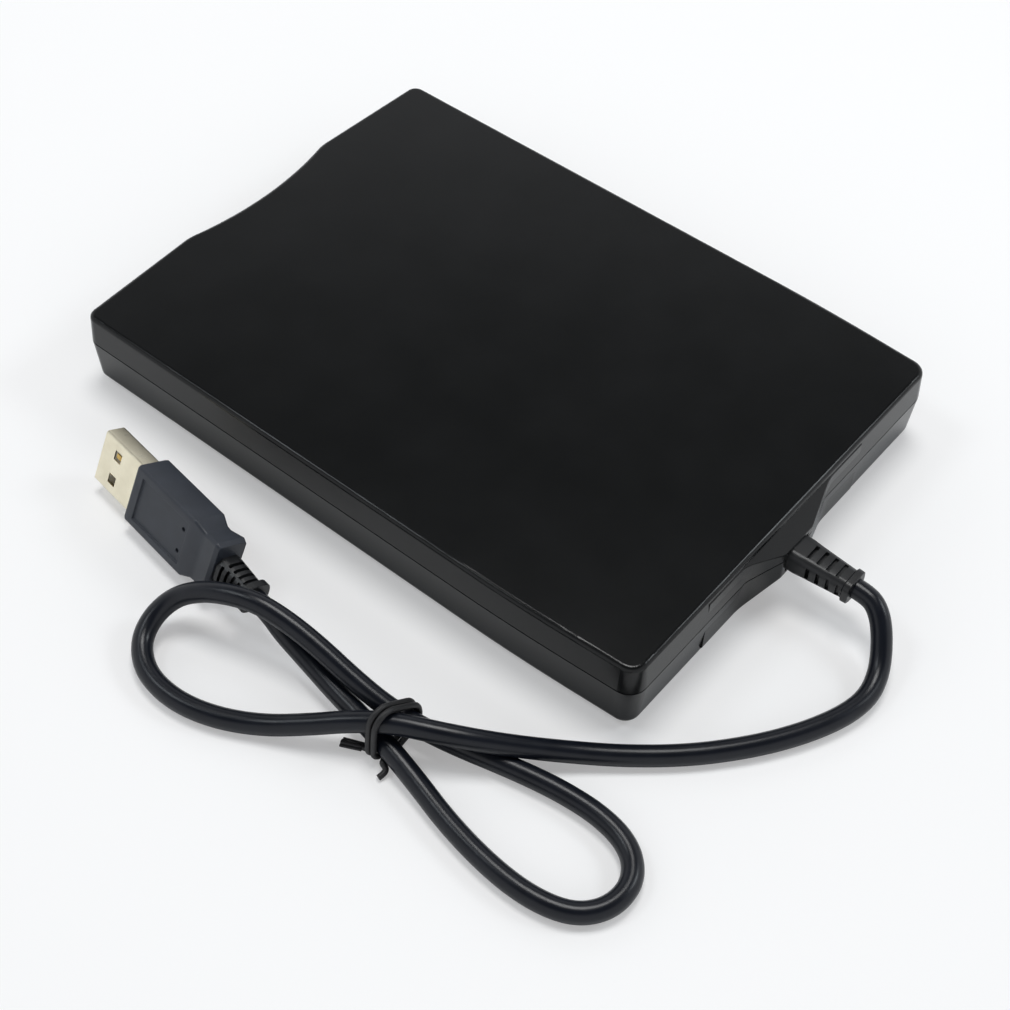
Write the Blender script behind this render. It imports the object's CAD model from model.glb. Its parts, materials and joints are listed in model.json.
import bmesh
import bpy
import json
import math
from mathutils import Matrix, Vector


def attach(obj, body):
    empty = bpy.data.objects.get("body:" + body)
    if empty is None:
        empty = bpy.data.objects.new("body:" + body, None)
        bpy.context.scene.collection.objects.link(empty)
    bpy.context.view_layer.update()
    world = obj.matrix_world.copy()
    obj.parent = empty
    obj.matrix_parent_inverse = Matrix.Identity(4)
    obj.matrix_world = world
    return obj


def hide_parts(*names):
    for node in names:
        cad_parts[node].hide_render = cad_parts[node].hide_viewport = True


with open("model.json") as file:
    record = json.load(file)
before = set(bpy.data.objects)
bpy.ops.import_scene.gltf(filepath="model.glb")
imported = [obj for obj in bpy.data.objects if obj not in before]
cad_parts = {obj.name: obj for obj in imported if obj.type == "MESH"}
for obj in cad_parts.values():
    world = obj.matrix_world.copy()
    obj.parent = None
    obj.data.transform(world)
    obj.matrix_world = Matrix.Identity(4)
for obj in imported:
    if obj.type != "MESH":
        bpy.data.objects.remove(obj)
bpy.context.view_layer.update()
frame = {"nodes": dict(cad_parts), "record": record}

nodes = frame["nodes"]
mm = 0.001


# camera

viewpoint = {
    "place": (210.098, 161.688, 280.411),   # millimetres
    "lookAt": (22.786, 18.008, 0.0),
    "rollDegrees": 2.465,
    "lens": 63.662,
    "sensor": 36.0,
    "clip": (0.01, 20.0),   # metres
}


def addCamera(spec):
    data = bpy.data.cameras.new("studioCamera")
    data.lens = spec["lens"]
    data.sensor_width = spec["sensor"]
    data.clip_start, data.clip_end = spec["clip"]
    camera = bpy.data.objects.new("studioCamera", data)
    bpy.context.scene.collection.objects.link(camera)
    place = Vector(spec["place"]) * mm
    back = (place - Vector(spec["lookAt"]) * mm).normalized()
    right = Vector((0, 0, 1)).cross(back).normalized()
    up = back.cross(right)
    turn = Matrix((right, up, back)).transposed()
    turn = turn @ Matrix.Rotation(math.radians(spec["rollDegrees"]), 3, "Z")
    camera.matrix_world = Matrix.Translation(place) @ turn.to_4x4()
    bpy.context.scene.camera = camera


addCamera(viewpoint)
print("stage: camera")


# cord

plugPlace = {
    "tip": (69.6, -47.6),
    "headingDegrees": 8.6,
    "leanDegrees": 25.0,
    "axisHeight": 7.748,
    "reliefEnd": 49.0,      # from the tip to where the cord goes in
    "straightRun": 4.5,
}


def alongPlug(distance):
    heading = math.radians(plugPlace["headingDegrees"])
    x = plugPlace["tip"][0] + math.sin(heading) * distance
    y = plugPlace["tip"][1] + math.cos(heading) * distance
    return (x, y, plugPlace["axisHeight"])


cordSpec = {
    "diameter": 4.2,
    "length": 394.8,
    "exit": (1.6, 87.35, 9.9),
    "low": 2.1,             # its middle when it lies on the table
    "resolution": 10,
    "roundness": 6,
}
low = cordSpec["low"]
cordRoute = [           # out of the boot, tied bundle, loop forward, back, loop behind, plug
    (1.6, 90.1, 9.9), (2.3, 92.6, 9.3), (4.1, 95.1, 7.8), (7.1, 97.6, 5.3),
    (10.8, 99.7, 3.2), (15.6, 100.8, 2.2), (21.0, 100.1, low), (27.3, 97.7, low),
    (34.2, 93.9, low), (41.2, 88.9, low), (48.8, 82.2, low), (56.3, 73.6, low),
    (63.0, 65.1, 3.0), (68.9, 58.5, 5.1), (73.8, 52.6, 7.1), (77.7, 46.2, 8.0),
    (81.1, 39.3, 8.1), (85.1, 33.1, 7.1), (89.7, 26.5, 4.8), (94.1, 19.4, 2.5),
    (98.1, 12.1, low), (100.4, 4.8, low), (100.6, -1.9, low), (99.1, -7.4, 2.3),
    (95.6, -11.6, 3.0), (90.8, -13.0, 4.7), (86.3, -11.5, 7.2), (83.7, -7.4, 9.9),
    (81.6, -2.1, 11.7), (79.6, 4.3, 12.4), (78.5, 11.2, 11.1), (78.1, 18.7, 9.3),
    (78.2, 26.3, 7.3), (77.9, 34.3, 5.3), (76.2, 41.8, 3.2), (74.1, 49.4, low),
    (72.0, 57.3, low), (70.3, 64.8, low), (69.3, 71.3, low), (69.0, 77.5, low),
    (69.9, 83.4, low), (72.4, 87.8, low), (76.5, 90.3, low), (81.6, 90.2, low),
    (85.9, 87.6, low), (88.5, 83.1, low), (89.7, 75.9, low), (89.2, 67.0, low),
    (87.5, 57.5, low), (85.2, 49.0, 2.4), (83.5, 40.9, 3.4), (81.9, 32.7, 3.5),
    (80.5, 24.3, 3.5), (79.2, 15.9, 4.7), (78.6, 9.4, 6.6),
]


def addTube(name, points, radius, spec):
    # a round tube whose line has these control points
    curve = bpy.data.curves.new(name, "CURVE")
    curve.dimensions = "3D"
    spline = curve.splines.new("NURBS")
    spline.points.add(len(points) - 1)
    for spot, (x, y, z) in zip(spline.points, points):
        spot.co = (x * mm, y * mm, z * mm, 1)
        spot.radius = radius * mm       # the line's box is then the tube's
    spline.order_u = 3
    spline.use_endpoint_u = True
    spline.resolution_u = spec["resolution"]
    curve.bevel_depth = 1.0
    curve.bevel_resolution = spec["roundness"]
    curve.use_fill_caps = True
    piece = bpy.data.objects.new(name, curve)
    bpy.context.scene.collection.objects.link(piece)
    return piece


def addCord(spec, route):
    points = [spec["exit"]] + route
    points.append(alongPlug(plugPlace["reliefEnd"] + plugPlace["straightRun"]))
    points.append(alongPlug(plugPlace["reliefEnd"]))
    piece = addTube("cordPiece", points, spec["diameter"] / 2, spec)
    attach(piece, "drive")
    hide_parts("cord")
    return piece


cordPiece = addCord(cordSpec, cordRoute)
print("stage: cord")


# shader helpers

class Val:
    def __init__(self, tree, socket=None):
        self.tree = tree
        self.socket = socket

    def use(self, kind, settings=None, inputs=None, out=0):
        made = self.tree.nodes.new(kind)
        for key, value in (settings or {}).items():
            if key == "stops":
                marks = made.color_ramp.elements
                while len(marks) < len(value):
                    marks.new(0.5)
                for mark, (at, colour) in zip(marks, value):
                    mark.position = at
                    mark.color = colour
            else:
                setattr(made, key, value)
        for key, value in (inputs or {}).items():
            if isinstance(value, Val):
                self.tree.links.new(value.socket, made.inputs[key])
            else:
                made.inputs[key].default_value = value
        return Val(self.tree, made.outputs[out])

    def maths(self, operation, first, second):
        return self.use("ShaderNodeMath", {"operation": operation}, {0: first, 1: second})

    def __add__(self, other):
        return self.maths("ADD", self, other)

    def __radd__(self, other):
        return self.maths("ADD", other, self)

    def __sub__(self, other):
        return self.maths("SUBTRACT", self, other)

    def __rsub__(self, other):
        return self.maths("SUBTRACT", other, self)

    def __mul__(self, other):
        return self.maths("MULTIPLY", self, other)

    def __rmul__(self, other):
        return self.maths("MULTIPLY", other, self)

    def __gt__(self, other):
        return self.maths("GREATER_THAN", self, other)

    def __lt__(self, other):
        return self.maths("LESS_THAN", self, other)


def opaque(colour):
    return (*colour, 1.0)


class Finish:
    # one material: its tree, its shader and the patterns that the finishes share
    def __init__(self, name, **plain):
        self.material = bpy.data.materials.new(name)
        self.material.use_nodes = True
        self.tree = self.material.node_tree
        self.shader = self.tree.nodes["Principled BSDF"]
        self.start = Val(self.tree)
        self.place = self.start.use("ShaderNodeTexCoord", out="Object")
        for socket, value in plain.items():
            self.shader.inputs[socket.replace("_", " ")].default_value = value

    def noise(self, size, detail=2.0, stretch=(1, 1, 1), rough=0.5):
        spread = self.start.use("ShaderNodeMapping", None, {"Vector": self.place, "Scale": stretch})
        inputs = {"Vector": spread, "Scale": 1 / (size * mm), "Detail": detail, "Roughness": rough}
        return self.start.use("ShaderNodeTexNoise", None, inputs)

    def cells(self, size):
        inputs = {"Vector": self.place, "Scale": 1 / (size * mm)}
        return self.start.use("ShaderNodeTexVoronoi", {"feature": "F1"}, inputs, "Distance")

    def ramp(self, value, low, high):
        settings = {"stops": [(low, (0, 0, 0, 1)), (high, (1, 1, 1, 1))]}
        return self.start.use("ShaderNodeValToRGB", settings, {"Fac": value})

    def blend(self, share, first, second):
        # the mix node's colours are its inputs 6 and 7 and its output 2
        inputs = {0: share}
        for key, value in ((6, first), (7, second)):
            inputs[key] = value if isinstance(value, Val) else opaque(value)
        return self.start.use("ShaderNodeMix", {"data_type": "RGBA"}, inputs, 2)

    def split(self):
        parts = self.start.use("ShaderNodeSeparateXYZ", None, {"Vector": self.place})
        owner = parts.socket.node
        return [Val(self.tree, owner.outputs[axis]) for axis in "XYZ"]

    def give(self, socket, value):
        self.tree.links.new(value.socket, self.shader.inputs[socket])

    def relief(self, height, depth):
        inputs = {"Height": height, "Distance": depth * mm, "Strength": 1.0}
        self.give("Normal", self.start.use("ShaderNodeBump", None, inputs))


# plastics and rubber

# patch and grain are sizes and depth is the relief's, in millimetres; dull is the
# range of roughness and gloss the strength of the reflection
plasticLooks = {
    "case_plastic": {
        "colour": (0.0052, 0.0056, 0.0058), "fade": (0.0070, 0.0074, 0.0077),
        "patch": 16.0, "grain": 0.34, "depth": 0.010, "dull": (0.17, 0.23), "gloss": 0.25,
    },
    "front_plastic": {
        "colour": (0.0070, 0.0073, 0.0076), "fade": (0.0098, 0.0100, 0.0104),
        "patch": 9.0, "grain": 0.26, "depth": 0.008, "dull": (0.33, 0.42), "gloss": 0.45,
    },
    "cord_plastic": {
        "colour": (0.0036, 0.0048, 0.0085), "fade": (0.0062, 0.0078, 0.0125),
        "patch": 5.0, "grain": 0.9, "depth": 0.010, "dull": (0.25, 0.34), "gloss": 0.33,
    },
    "boot_plastic": {
        "colour": (0.0065, 0.007, 0.008), "fade": (0.011, 0.0115, 0.013),
        "patch": 3.0, "grain": 0.5, "depth": 0.010, "dull": (0.34, 0.44), "gloss": 0.45,
    },
    "tie_plastic": {
        "colour": (0.010, 0.010, 0.011), "fade": (0.017, 0.017, 0.018),
        "patch": 1.6, "grain": 0.22, "depth": 0.012, "dull": (0.42, 0.55), "gloss": 0.4,
    },
    "plug_plastic": {
        "colour": (0.0165, 0.0205, 0.0290), "fade": (0.023, 0.028, 0.0385),
        "patch": 4.0, "grain": 0.20, "depth": 0.010, "dull": (0.40, 0.50), "gloss": 0.45,
    },
    "foot_rubber": {
        "colour": (0.012, 0.012, 0.012), "fade": (0.022, 0.021, 0.020),
        "patch": 2.2, "grain": 0.5, "depth": 0.03, "dull": (0.62, 0.80), "gloss": 0.25,
    },
    "chip_black": {
        "colour": (0.012, 0.012, 0.013), "fade": (0.022, 0.022, 0.023),
        "patch": 1.5, "grain": 0.12, "depth": 0.008, "dull": (0.50, 0.62), "gloss": 0.4,
    },
    "carriage_plastic": {
        "colour": (0.028, 0.029, 0.032), "fade": (0.042, 0.043, 0.047),
        "patch": 3.0, "grain": 0.18, "depth": 0.010, "dull": (0.42, 0.56), "gloss": 0.45,
    },
    "tongue_plastic": {
        "colour": (0.78, 0.77, 0.72), "fade": (0.68, 0.66, 0.60),
        "patch": 2.6, "grain": 0.3, "depth": 0.006, "dull": (0.30, 0.42), "gloss": 0.5,
    },
    "connector_plastic": {
        "colour": (0.80, 0.77, 0.68), "fade": (0.70, 0.66, 0.56),
        "patch": 2.0, "grain": 0.3, "depth": 0.008, "dull": (0.32, 0.45), "gloss": 0.5,
    },
    "wire_plastic": {
        "colour": (0.42, 0.03, 0.02), "fade": (0.55, 0.06, 0.04),
        "patch": 3.0, "grain": 0.5, "depth": 0.006, "dull": (0.22, 0.34), "gloss": 0.5,
    },
    "head_ceramic": {
        "colour": (0.60, 0.60, 0.56), "fade": (0.46, 0.46, 0.43),
        "patch": 0.7, "grain": 0.1, "depth": 0.003, "dull": (0.12, 0.22), "gloss": 0.5,
    },
}


# how every moulded surface mixes its large patches, fine grain and pits
mouldedMix = {
    "patchDetail": 3.0, "fadeFrom": 0.35, "fadeTo": 0.72, "grainRough": 0.6,
    "pitSize": 1.6, "dullByGrain": 0.6, "dullByPatch": 0.4, "deepByGrain": 0.7, "deepByPits": 0.3,
}


def mouldedPlastic(name, look, mix=mouldedMix):
    made = Finish(name, Specular_IOR_Level=look["gloss"])
    patch = made.noise(look["patch"], mix["patchDetail"])
    fine = made.noise(look["grain"], rough=mix["grainRough"])
    pits = made.cells(look["grain"] * mix["pitSize"])
    share = made.ramp(patch, mix["fadeFrom"], mix["fadeTo"])
    made.give("Base Color", made.blend(share, look["colour"], look["fade"]))
    low, high = look["dull"]
    dull = mix["dullByGrain"] * fine + mix["dullByPatch"] * patch
    made.give("Roughness", low + (high - low) * dull)
    made.relief(mix["deepByGrain"] * fine + mix["deepByPits"] * pits, look["depth"])
    return made.material


# metals: brush squeezes the pattern of lines along X, Y and Z

metalLooks = {
    "plug_metal": {"colour": (0.84, 0.78, 0.61), "stain": (0.74, 0.68, 0.52), "patch": 4.0,
                   "brush": (1, 9, 9), "line": 0.5, "depth": 0.004, "dull": (0.22, 0.36)},
    "contact_gold": {"colour": (0.88, 0.66, 0.28), "stain": (0.72, 0.50, 0.20), "patch": 1.6,
                     "brush": (8, 1, 8), "line": 0.3, "depth": 0.002, "dull": (0.16, 0.28)},
    "chassis_steel": {"colour": (0.60, 0.61, 0.62), "stain": (0.44, 0.45, 0.47), "patch": 6.0,
                      "brush": (10, 1, 10), "line": 1.2, "depth": 0.004, "dull": (0.28, 0.45)},
    "screw_steel": {"colour": (0.48, 0.48, 0.47), "stain": (0.30, 0.30, 0.30), "patch": 0.8,
                    "brush": (1, 1, 1), "line": 0.25, "depth": 0.006, "dull": (0.26, 0.42)},
    "spring_steel": {"colour": (0.62, 0.62, 0.62), "stain": (0.42, 0.42, 0.43), "patch": 0.7,
                     "brush": (1, 1, 1), "line": 0.2, "depth": 0.003, "dull": (0.16, 0.28)},
    "bright_steel": {"colour": (0.72, 0.72, 0.73), "stain": (0.56, 0.56, 0.58), "patch": 2.0,
                     "brush": (1, 12, 1), "line": 0.6, "depth": 0.002, "dull": (0.12, 0.22)},
    "motor_metal": {"colour": (0.40, 0.40, 0.41), "stain": (0.30, 0.30, 0.32), "patch": 2.6,
                    "brush": (1, 1, 6), "line": 0.5, "depth": 0.004, "dull": (0.30, 0.44)},
    "bearing_brass": {"colour": (0.66, 0.50, 0.26), "stain": (0.50, 0.36, 0.18), "patch": 0.6,
                      "brush": (1, 1, 1), "line": 0.12, "depth": 0.006, "dull": (0.36, 0.5)},
    "crystal_metal": {"colour": (0.70, 0.70, 0.67), "stain": (0.52, 0.52, 0.50), "patch": 1.4,
                      "brush": (6, 1, 6), "line": 0.4, "depth": 0.002, "dull": (0.18, 0.30)},
    "lever_steel": {"colour": (0.58, 0.58, 0.58), "stain": (0.40, 0.40, 0.41), "patch": 2.4,
                    "brush": (6, 1, 6), "line": 0.5, "depth": 0.003, "dull": (0.26, 0.40)},
}


metalMix = {
    "patchDetail": 4.0, "stainFrom": 0.38, "stainTo": 0.75, "dullByLines": 0.5, "dullByPatch": 0.5,
}


def metal(name, look, mix=metalMix):
    made = Finish(name, Metallic=1.0)
    patch = made.noise(look["patch"], mix["patchDetail"])
    lines = made.noise(look["line"], stretch=look["brush"])
    share = made.ramp(patch, mix["stainFrom"], mix["stainTo"])
    made.give("Base Color", made.blend(share, look["colour"], look["stain"]))
    low, high = look["dull"]
    dull = mix["dullByLines"] * lines + mix["dullByPatch"] * patch
    made.give("Roughness", low + (high - low) * dull)
    made.relief(lines, look["depth"])
    return made.material


# finishes with a pattern of their own

windingLook = {
    "copper": (0.62, 0.26, 0.11), "gap": (0.16, 0.05, 0.02), "metal": 0.9, "depth": 0.06,
    "bandWidth": 1.3816, "waver": 0.4, "gapTo": 0.1, "copperFrom": 0.5,
    "patch": 1.4, "dull": 0.22, "dullSpread": 0.2,
}


def copperWindings(name, look):
    made = Finish(name, Metallic=look["metal"])
    inputs = {"Vector": made.place, "Scale": 1 / (look["bandWidth"] * mm),
              "Distortion": look["waver"]}
    settings = {"wave_type": "BANDS", "bands_direction": "Z"}
    turns = made.start.use("ShaderNodeTexWave", settings, inputs, "Fac")
    patch = made.noise(look["patch"])
    share = made.ramp(turns, look["gapTo"], look["copperFrom"])
    made.give("Base Color", made.blend(share, look["gap"], look["copper"]))
    made.give("Roughness", look["dull"] + look["dullSpread"] * patch)
    made.relief(turns, look["depth"])
    return made.material


boardLook = {
    "mask": (0.010, 0.075, 0.030), "track": (0.022, 0.135, 0.058), "pad": (0.60, 0.56, 0.42),
    "trackPitch": 1.3, "trackHalf": 0.26, "bendPatch": 7.0, "bend": 6.0,
    "turnPatch": 13.0, "turnFrom": 0.5,
    "padPitch": 2.54, "padRadius": 0.42, "padPatch": 9.0, "padFrom": 0.56, "padMetal": 0.9,
    "dullPatch": 2.0, "dull": 0.30, "dullSpread": 0.1, "padHeight": 0.5, "depth": 0.03,
}
farCells = 400      # keeps a place positive before it wraps


def wrapped(value, pitch):
    # distance from the middle of a repeating cell, in millimetres
    step = pitch * mm
    cell = value.maths("MODULO", value + farCells * step, step)
    fromMiddle = cell - step / 2
    return fromMiddle.maths("ABSOLUTE", fromMiddle, 0) * (1 / mm)


def circuitBoard(name, look):
    made = Finish(name)
    x, y = made.split()[:2]
    bend = made.noise(look["bendPatch"], detail=0.0) * (look["bend"] * mm)
    across = wrapped(x + bend, look["trackPitch"]) < look["trackHalf"]
    along = wrapped(y + bend, look["trackPitch"]) < look["trackHalf"]
    region = made.noise(look["turnPatch"], detail=0.0) > look["turnFrom"]
    tracks = region * across + (1 - region) * along
    px = wrapped(x, look["padPitch"])
    py = wrapped(y, look["padPitch"])
    close = (px * px + py * py) < look["padRadius"] ** 2
    pads = close * (made.noise(look["padPatch"], detail=0.0) > look["padFrom"])
    green = made.blend(tracks, look["mask"], look["track"])
    made.give("Base Color", made.blend(pads, green, look["pad"]))
    made.give("Metallic", look["padMetal"] * pads)
    cloud = made.noise(look["dullPatch"])
    made.give("Roughness", look["dull"] + look["dullSpread"] * cloud)
    made.relief(tracks + look["padHeight"] * pads, look["depth"])
    return made.material


filmLooks = {
    "label_film": {"colour": (0.56, 0.57, 0.58), "line": (0.50, 0.51, 0.52), "pitch": 1.0,
                   "share": 0.02, "dull": 0.34, "metal": 0.35},
    "ribbon_film": {"colour": (0.72, 0.72, 0.69), "line": (0.58, 0.54, 0.46), "pitch": 1.0,
                    "share": 0.28, "dull": 0.30, "metal": 0.0},
    "flex_film": {"colour": (0.42, 0.17, 0.025), "line": (0.62, 0.30, 0.07), "pitch": 0.8,
                  "share": 0.22, "dull": 0.24, "metal": 0.0},
}


filmMix = {
    "coat": 0.3, "cloud": 5.0, "cloudDetail": 3.0, "fade": 0.25, "dullSpread": 0.12,
    "grain": 0.8, "lineHeight": 0.5, "depth": 0.006,
}


def stripedFilm(name, look, mix=filmMix):
    made = Finish(name, Metallic=look["metal"], Coat_Weight=mix["coat"])
    x = made.split()[0]
    lines = wrapped(x, look["pitch"]) < look["share"]
    cloud = made.noise(mix["cloud"], mix["cloudDetail"])
    body = made.blend(lines, look["colour"], look["line"])
    made.give("Base Color", made.blend(mix["fade"] * cloud, body, look["line"]))
    made.give("Roughness", look["dull"] + mix["dullSpread"] * cloud)
    made.relief(made.noise(mix["grain"]) + mix["lineHeight"] * lines, mix["depth"])
    return made.material


lampLook = {
    "colour": (0.10, 0.42, 0.10), "bright": (0.20, 0.62, 0.18), "clear": 0.55, "bending": 1.49,
    "cloud": 1.2, "dull": 0.16, "dullGrain": 0.3, "dullSpread": 0.1, "grain": 0.25, "depth": 0.004,
}


def lampPlastic(name, look):
    made = Finish(name, Transmission_Weight=look["clear"], IOR=look["bending"])
    cloud = made.noise(look["cloud"])
    made.give("Base Color", made.blend(cloud, look["colour"], look["bright"]))
    made.give("Roughness", look["dull"] + look["dullSpread"] * made.noise(look["dullGrain"]))
    made.relief(made.noise(look["grain"]), look["depth"])
    return made.material


finishes = {name: mouldedPlastic(name, look) for name, look in plasticLooks.items()}
finishes.update({name: metal(name, look) for name, look in metalLooks.items()})
finishes["coil_copper"] = copperWindings("coil_copper", windingLook)
finishes["board_green"] = circuitBoard("board_green", boardLook)
finishes.update({name: stripedFilm(name, look) for name, look in filmLooks.items()})
finishes["lamp_plastic"] = lampPlastic("lamp_plastic", lampLook)
print("stage: finishes,", len(finishes))


def dress(piece, finish):
    slots = piece.data.materials
    if len(slots) == 0:
        slots.append(finishes[finish])
    for index in range(len(slots)):
        slots[index] = finishes[finish]


for part in frame["record"]["subparts"]:
    dress(nodes[part["node"]], part["material_slot"])
dress(cordPiece, "cord_plastic")
print("stage: nodes dressed")


# modelling helpers

def onlySelected(piece):
    bpy.ops.object.select_all(action="DESELECT")
    piece.select_set(True)
    bpy.context.view_layer.objects.active = piece


def addBox(name, low, high):
    bpy.ops.object.select_all(action="DESELECT")
    middle = [(a + b) / 2 * mm for a, b in zip(low, high)]
    bpy.ops.mesh.primitive_cube_add(size=1, location=middle)
    piece = bpy.context.object
    piece.name = name
    piece.scale = [(b - a) * mm for a, b in zip(low, high)]
    bpy.ops.object.transform_apply(location=True, rotation=True, scale=True)
    return piece


def addRod(name, radius, middle, length, around, sides=24):
    turned = {"X": (0, math.pi / 2, 0), "Y": (math.pi / 2, 0, 0), "Z": (0, 0, 0)}[around]
    bpy.ops.object.select_all(action="DESELECT")
    bpy.ops.mesh.primitive_cylinder_add(vertices=sides, radius=radius * mm, depth=length * mm,
                                        location=[v * mm for v in middle], rotation=turned)
    piece = bpy.context.object
    piece.name = name
    bpy.ops.object.transform_apply(location=True, rotation=True, scale=True)
    return piece


def choose(piece, kind, test):
    # selects what passes the test, in edit mode, with places in millimetres
    bpy.ops.mesh.select_mode(type=kind)
    bpy.ops.mesh.select_all(action="DESELECT")
    mesh = bmesh.from_edit_mesh(piece.data)
    rows = {"VERT": mesh.verts, "EDGE": mesh.edges, "FACE": mesh.faces}[kind]
    for row in rows:
        if kind == "FACE":
            row.select_set(bool(test(row.calc_center_median() / mm, row.normal)))
        elif kind == "EDGE":
            row.select_set(bool(test(row.verts[0].co / mm, row.verts[1].co / mm)))
        else:
            row.select_set(bool(test(row.co / mm)))
    mesh.select_flush_mode()
    bmesh.update_edit_mesh(piece.data)


def sliceAt(places):
    # cuts the piece in edit mode across X
    for x in places:
        bpy.ops.mesh.select_all(action="SELECT")
        bpy.ops.mesh.bisect(plane_co=(x * mm, 0, 0), plane_no=(1, 0, 0))


sameSpot = 0.01         # millimetres
alongBar = 0.05


def addBar(name, sections, corner, steps):
    # a bar along X: each section is its place, width and height
    piece = addBox(name, (sections[0][0], -0.5, -0.5), (sections[-1][0], 0.5, 0.5))
    bpy.ops.object.mode_set(mode="EDIT")
    sliceAt([section[0] for section in sections[1:-1]])
    for x, width, height in sections:
        choose(piece, "VERT", lambda at: abs(at.x - x) < sameSpot)
        bpy.ops.transform.resize(value=(1, width, height), center_override=(x * mm, 0, 0))
    choose(piece, "EDGE", lambda a, b: abs(a.x - b.x) > alongBar)
    bpy.ops.mesh.bevel(offset=corner * mm, segments=steps, clamp_overlap=True)
    bpy.ops.object.mode_set(mode="OBJECT")
    return piece


def cutAway(piece, cutters):
    onlySelected(cutters[0])
    for cutter in cutters[1:]:
        cutter.select_set(True)
    if len(cutters) > 1:
        bpy.ops.object.join()
    tool = bpy.context.object
    onlySelected(piece)
    cut = piece.modifiers.new("cut", "BOOLEAN")
    cut.object = tool
    cut.operation = "DIFFERENCE"
    cut.solver = "EXACT"
    bpy.ops.object.modifier_apply(modifier=cut.name)
    bpy.data.objects.remove(tool)


edgeSteps = 2
smoothBelow = 35        # degrees


def softEdges(piece, look):
    onlySelected(piece)
    bevel = piece.modifiers.new("edges", "BEVEL")
    bevel.width = look["edge"] * mm
    bevel.segments = edgeSteps
    bevel.limit_method = "ANGLE"
    bevel.angle_limit = math.radians(look["edgeDegrees"])
    bevel.use_clamp_overlap = True
    bpy.ops.object.modifier_apply(modifier=bevel.name)
    bpy.ops.object.shade_smooth_by_angle(angle=math.radians(smoothBelow))
    even = piece.modifiers.new("even", "WEIGHTED_NORMAL")
    even.keep_sharp = True
    bpy.ops.object.modifier_apply(modifier=even.name)


def setDown(piece, matrix, node, body, finish):
    onlySelected(piece)
    piece.matrix_world = matrix
    bpy.ops.object.transform_apply(location=True, rotation=True, scale=True)
    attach(piece, body)
    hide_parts(node)
    dress(piece, finish)


def plugMatrix():
    # X from the tip to the cord, Y across the wide face, Z through the thickness
    heading = math.radians(plugPlace["headingDegrees"])
    lean = math.radians(plugPlace["leanDegrees"])
    along = Vector((math.sin(heading), math.cos(heading), 0))
    side = Vector((math.cos(heading), -math.sin(heading), 0))
    wide = Vector((0, 0, math.cos(lean))) - side * math.sin(lean)
    turn = Matrix((along, wide, along.cross(wide))).transposed().to_4x4()
    x, y, z = alongPlug(0)
    return Matrix.Translation((x * mm, y * mm, z * mm)) @ turn


# plug's moulded grip

gripLook = {
    # from the plug's tip, with the width and height there
    "sections": [(12.6, 13.0, 7.1), (13.1, 13.6, 7.5), (31.4, 13.6, 7.5), (33.8, 11.6, 6.3),
                 (35.0, 11.4, 6.2), (38.3, 12.4, 7.3), (39.4, 11.6, 6.8)],
    "corner": 0.7, "cornerSteps": 4, "edge": 0.10, "edgeDegrees": 22,
    "panelFrom": 13.8, "panelTo": 31.3, "panelMargin": 1.1, "panelDepth": 0.42,
    "panelSlope": 0.16, "flat": 0.99,
    "dimples": [(28.9, -2.6), (28.9, 2.6)], "dimpleRadius": 0.45, "dimpleDepth": 0.5,
    "dimpleSides": 16,
}


def addGrip(look):
    piece = addBar("gripPiece", look["sections"], look["corner"], look["cornerSteps"])
    bpy.ops.object.mode_set(mode="EDIT")
    near, far = look["panelFrom"], look["panelTo"]
    sliceAt([near, far])
    choose(piece, "FACE", lambda at, n: near < at.x < far and abs(n.z) > look["flat"])
    bpy.ops.mesh.inset(thickness=look["panelMargin"] * mm, depth=0)
    bpy.ops.mesh.inset(thickness=look["panelSlope"] * mm, depth=-look["panelDepth"] * mm)
    bpy.ops.object.mode_set(mode="OBJECT")
    panel = look["sections"][1][2] / 2 - look["panelDepth"]
    cutters = []
    for x, y in look["dimples"]:
        for face in (-1, 1):
            cutters.append(addRod("dimple", look["dimpleRadius"], (x, y, face * panel),
                                  2 * look["dimpleDepth"], "Z", look["dimpleSides"]))
    cutAway(piece, cutters)
    softEdges(piece, look)
    setDown(piece, plugMatrix(), "plug_overmold", "drive", "plug_plastic")
    return piece


gripPiece = addGrip(gripLook)
print("stage: grip")


# slotted strain reliefs: the housing's boot and the one behind the grip

bootLook = {
    # from the drive's middle, with the width and height there
    "sections": [(69.1, 7.2, 5.6), (75.5, 7.2, 5.6), (77.3, 6.9, 5.4), (85.7, 5.9, 4.7),
                 (86.0, 6.7, 5.5), (87.2, 6.6, 5.4), (87.35, 6.1, 4.9)],
    "corner": 1.6, "cornerSteps": 5, "firstSlot": 77.2, "pitch": 2.2, "slot": 0.8, "count": 4,
    "topSlot": 3.8, "sideSlot": 3.0, "deep": 0.9, "edge": 0.10, "edgeDegrees": 30,
}
reliefLook = {
    # from the plug's tip
    "sections": [(38.8, 6.2, 6.0), (40.2, 6.2, 6.0), (47.2, 5.3, 5.2), (47.5, 6.5, 6.4),
                 (48.8, 6.5, 6.4), (49.0, 6.1, 6.0)],
    "corner": 1.9, "cornerSteps": 5, "firstSlot": 41.0, "pitch": 1.62, "slot": 0.72, "count": 4,
    "topSlot": 4.6, "sideSlot": 3.8, "deep": 0.9, "edge": 0.10, "edgeDegrees": 30,
}
# both narrow towards the cord, and their slots get shallower
slotShape = {"taper": 0.25, "rim": 0.45, "topDeep": 0.75, "past": 1.0}


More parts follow.
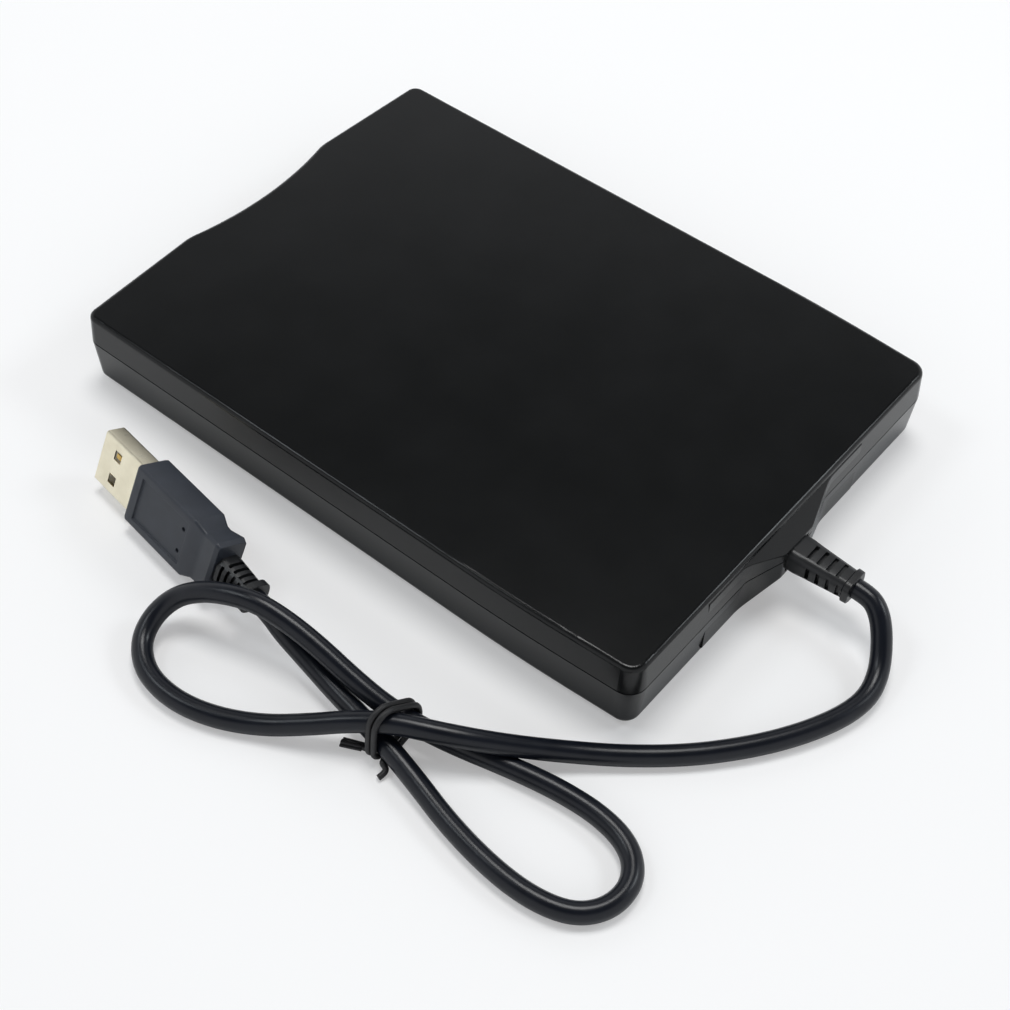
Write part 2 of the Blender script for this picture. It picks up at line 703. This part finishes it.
def addRelief(name, look, shape=slotShape):
    piece = addBar(name, look["sections"], look["corner"], look["cornerSteps"])
    half, topHalf, sideHalf = look["slot"] / 2, look["topSlot"] / 2, look["sideSlot"] / 2
    widest = max(width for x, width, height in look["sections"]) / 2
    tallest = max(height for x, width, height in look["sections"]) / 2
    cutters = []
    for index in range(look["count"]):
        deep = look["deep"] * (1 - shape["taper"] * index / look["count"])
        top = look["firstSlot"] + index * look["pitch"]
        side = top + look["pitch"] / 2
        for face in (-1, 1):
            near = face * (tallest - shape["rim"] - deep * shape["topDeep"])
            low, high = sorted((near, face * (tallest + shape["past"])))
            cutters.append(addBox("slot", (top - half, -topHalf, low),
                                  (top + half, topHalf, high)))
            near = face * (widest - shape["rim"] - deep)
            low, high = sorted((near, face * (widest + shape["past"])))
            cutters.append(addBox("slot", (side - half, low, -sideHalf),
                                  (side + half, high, sideHalf)))
    cutAway(piece, cutters)
    softEdges(piece, look)
    return piece


def bootMatrix():
    x, y, z = cordSpec["exit"]
    turn = Matrix(((0, -1, 0), (1, 0, 0), (0, 0, 1))).to_4x4()
    return Matrix.Translation((x * mm, 0, z * mm)) @ turn


bootPiece = addRelief("bootPiece", bootLook)
setDown(bootPiece, bootMatrix(), "cord_boot", "drive", "boot_plastic")
reliefPiece = addRelief("reliefPiece", reliefLook)
setDown(reliefPiece, plugMatrix(), "plug_strain_relief", "drive", "boot_plastic")
print("stage: strain reliefs")


# wire tie round the bundle

tieLook = {
    "wire": 0.60,           # radius of the coated wire
    "clear": 0.10,          # between the wire and the cord
    "strands": [(77.2, 4.5), (82.9, 3.5), (82.0, 8.1)],     # x and z where the tie goes round
    "widen": 0.35,          # for the strands' slant
    "start": 37.3, "step": 1.35, "slant": -0.10, "slantFrom": 4.0,
    "firstAngle": -62, "turnDegrees": 690, "points": 44, "resolution": 6, "roundness": 4,
    "tail": [(85.9, 40.6, 2.0), (85.9, 42.0, 1.2), (87.0, 42.2, 0.9), (88.1, 41.9, 0.7)],
    "tab": [(85.5, 35.8, 1.7), (86.2, 33.6, 1.1), (86.8, 31.7, 0.8)],
    "stripWidth": 2.1, "stripThickness": 0.55, "edge": 0.05, "edgeDegrees": 30,
    "stripTaper": [(0.0, 1.0), (0.4, 0.96), (1.0, 0.9)],    # share of length, of width
    "corner": 0.18, "cornerSteps": 3,
}


def tieLoop(look):
    # the point of the bundle's outline that is furthest in each direction
    reach = cordSpec["diameter"] / 2 + look["widen"] + look["clear"] + look["wire"]
    loop = []
    for index in range(look["points"]):
        share = index / (look["points"] - 1)
        angle = math.radians(look["firstAngle"] + share * look["turnDegrees"])
        ax, az = math.cos(angle), math.sin(angle)
        x, z = max(look["strands"], key=lambda strand: strand[0] * ax + strand[1] * az)
        y = look["start"] + look["step"] * share * look["turnDegrees"] / 360
        px, pz = x + reach * ax, z + reach * az
        y += look["slant"] * (pz - look["slantFrom"])
        loop.append((px, y, max(pz, look["wire"])))
    return loop


def addTie(look):
    points = look["tab"][::-1] + tieLoop(look) + look["tail"]
    piece = addTube("tiePiece", points, look["wire"], look)
    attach(piece, "drive")
    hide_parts("cord_tie")
    dress(piece, "tie_plastic")
    return piece


def addStrip(look):
    # the flat end of the tie, with the wire's ridge along its middle
    end, start = Vector(look["tab"][-1]), Vector(look["tab"][0])
    length = (start - end).length
    sections = [(far * length, wide * look["stripWidth"], look["stripThickness"])
                for far, wide in look["stripTaper"]]
    piece = addBar("tieStrip", sections, look["corner"], look["cornerSteps"])
    softEdges(piece, look)
    along = (start - end).normalized()
    side = Vector((0, 0, 1)).cross(along).normalized()
    turn = Matrix((along, side, along.cross(side))).transposed().to_4x4()
    setDown(piece, Matrix.Translation(end * mm) @ turn, "cord_tie", "drive", "tie_plastic")
    return piece


tiePiece = addTie(tieLook)
stripPiece = addStrip(tieLook)
onCord = [bootPiece, gripPiece, reliefPiece, tiePiece, stripPiece]
onCord += [nodes[name] for name in ("plug_shell", "plug_tongue", "plug_contacts")]
print("stage: wire tie")


# floor and light

studio = {
    "floorSize": 6.0,
    "floorColour": (0.962, 0.964, 0.966),
    "floorGloss": 0.25,
    "floorPatch": 90.0,
    "floorFade": 0.985,
    "floorDull": 0.55,
    "floorDullSpread": 0.1,
    "floorGlow": 0.30,      # how much of the table a camera sees as plain light
    "glowColour": (1.0, 0.992, 0.992),
    "skyTop": 0.03,
    "skyLow": 0.97,
    "skySeen": 0.97,        # behind the table, for a camera
    "skyColour": (0.95, 0.965, 0.99),
    # height, from level to straight up, and the share of the low light there
    "skyBands": [(0.0, 1.0), (0.46, 0.9), (0.61, 0.72), (0.70, 0.04), (1.0, 0.0)],
    "lamps": [
        # name, place, aim, size, watts, colour
        ("keyLamp", (-0.16, -0.10, 1.0), (0, 0, 0), 0.42, 4.9, (1.0, 1.0, 0.995)),
        ("rearRimLamp", (-0.58, 0.55, 0.68), (0, 0, 0), 0.30, 1.8, (0.9, 0.96, 1.0)),
        ("sideRimLamp", (0.33, -0.46, 0.84), (0, 0, 0), 0.30, 1.3, (0.9, 0.96, 1.0)),
    ],
}


def addFloor(spec):
    bpy.ops.object.select_all(action="DESELECT")
    bpy.ops.mesh.primitive_plane_add(size=spec["floorSize"], location=(0, 0, 0))
    floor = bpy.context.object
    floor.name = "tableTop"
    made = Finish("tableTop", Specular_IOR_Level=spec["floorGloss"])
    cloud = made.noise(spec["floorPatch"])
    faded = tuple(spec["floorFade"] * v for v in spec["floorColour"])
    made.give("Base Color", made.blend(cloud, spec["floorColour"], faded))
    made.give("Roughness", spec["floorDull"] + spec["floorDullSpread"] * cloud)
    start = made.start
    glow = start.use("ShaderNodeEmission", None, {"Color": opaque(spec["glowColour"])})
    seen = start.use("ShaderNodeLightPath", out="Is Camera Ray")
    lit = Val(made.tree, made.shader.outputs["BSDF"])
    both = start.use("ShaderNodeMixShader", None, {0: spec["floorGlow"] * seen, 1: lit, 2: glow})
    made.tree.links.new(both.socket, made.tree.nodes["Material Output"].inputs["Surface"])
    floor.data.materials.append(made.material)
    return floor


def addLamp(name, place, aim, size, watts, colour):
    data = bpy.data.lights.new(name, "AREA")
    data.shape = "DISK"
    data.size = size
    data.energy = watts
    data.color = colour
    lamp = bpy.data.objects.new(name, data)
    bpy.context.scene.collection.objects.link(lamp)
    back = (Vector(place) - Vector(aim)).normalized()
    turn = back.to_track_quat("Z", "Y").to_matrix().to_4x4()
    lamp.matrix_world = Matrix.Translation(place) @ turn


def addSky(spec):
    world = bpy.data.worlds.new("studioSky")
    world.use_nodes = True
    tree = world.node_tree
    tree.nodes.clear()
    start = Val(tree)
    facing = start.use("ShaderNodeTexCoord", out="Generated")
    parts = start.use("ShaderNodeSeparateXYZ", None, {"Vector": facing})
    height = Val(tree, parts.socket.node.outputs["Z"])
    stops = [(at, (share, share, share, 1)) for at, share in spec["skyBands"]]
    low = start.use("ShaderNodeValToRGB", {"stops": stops}, {"Fac": height})
    strength = spec["skyTop"] + (spec["skyLow"] - spec["skyTop"]) * low
    seen = start.use("ShaderNodeLightPath", out="Is Camera Ray")
    strength = strength * (1 - seen) + spec["skySeen"] * seen
    inputs = {"Strength": strength, "Color": opaque(spec["skyColour"])}
    lit = start.use("ShaderNodeBackground", None, inputs)
    end = tree.nodes.new("ShaderNodeOutputWorld")
    tree.links.new(lit.socket, end.inputs["Surface"])
    bpy.context.scene.world = world


addFloor(studio)
for lamp in studio["lamps"]:
    addLamp(*lamp)
addSky(studio)
bpy.context.scene.view_settings.view_transform = "Standard"
print("stage: floor and light")

bpy.context.view_layer.update()
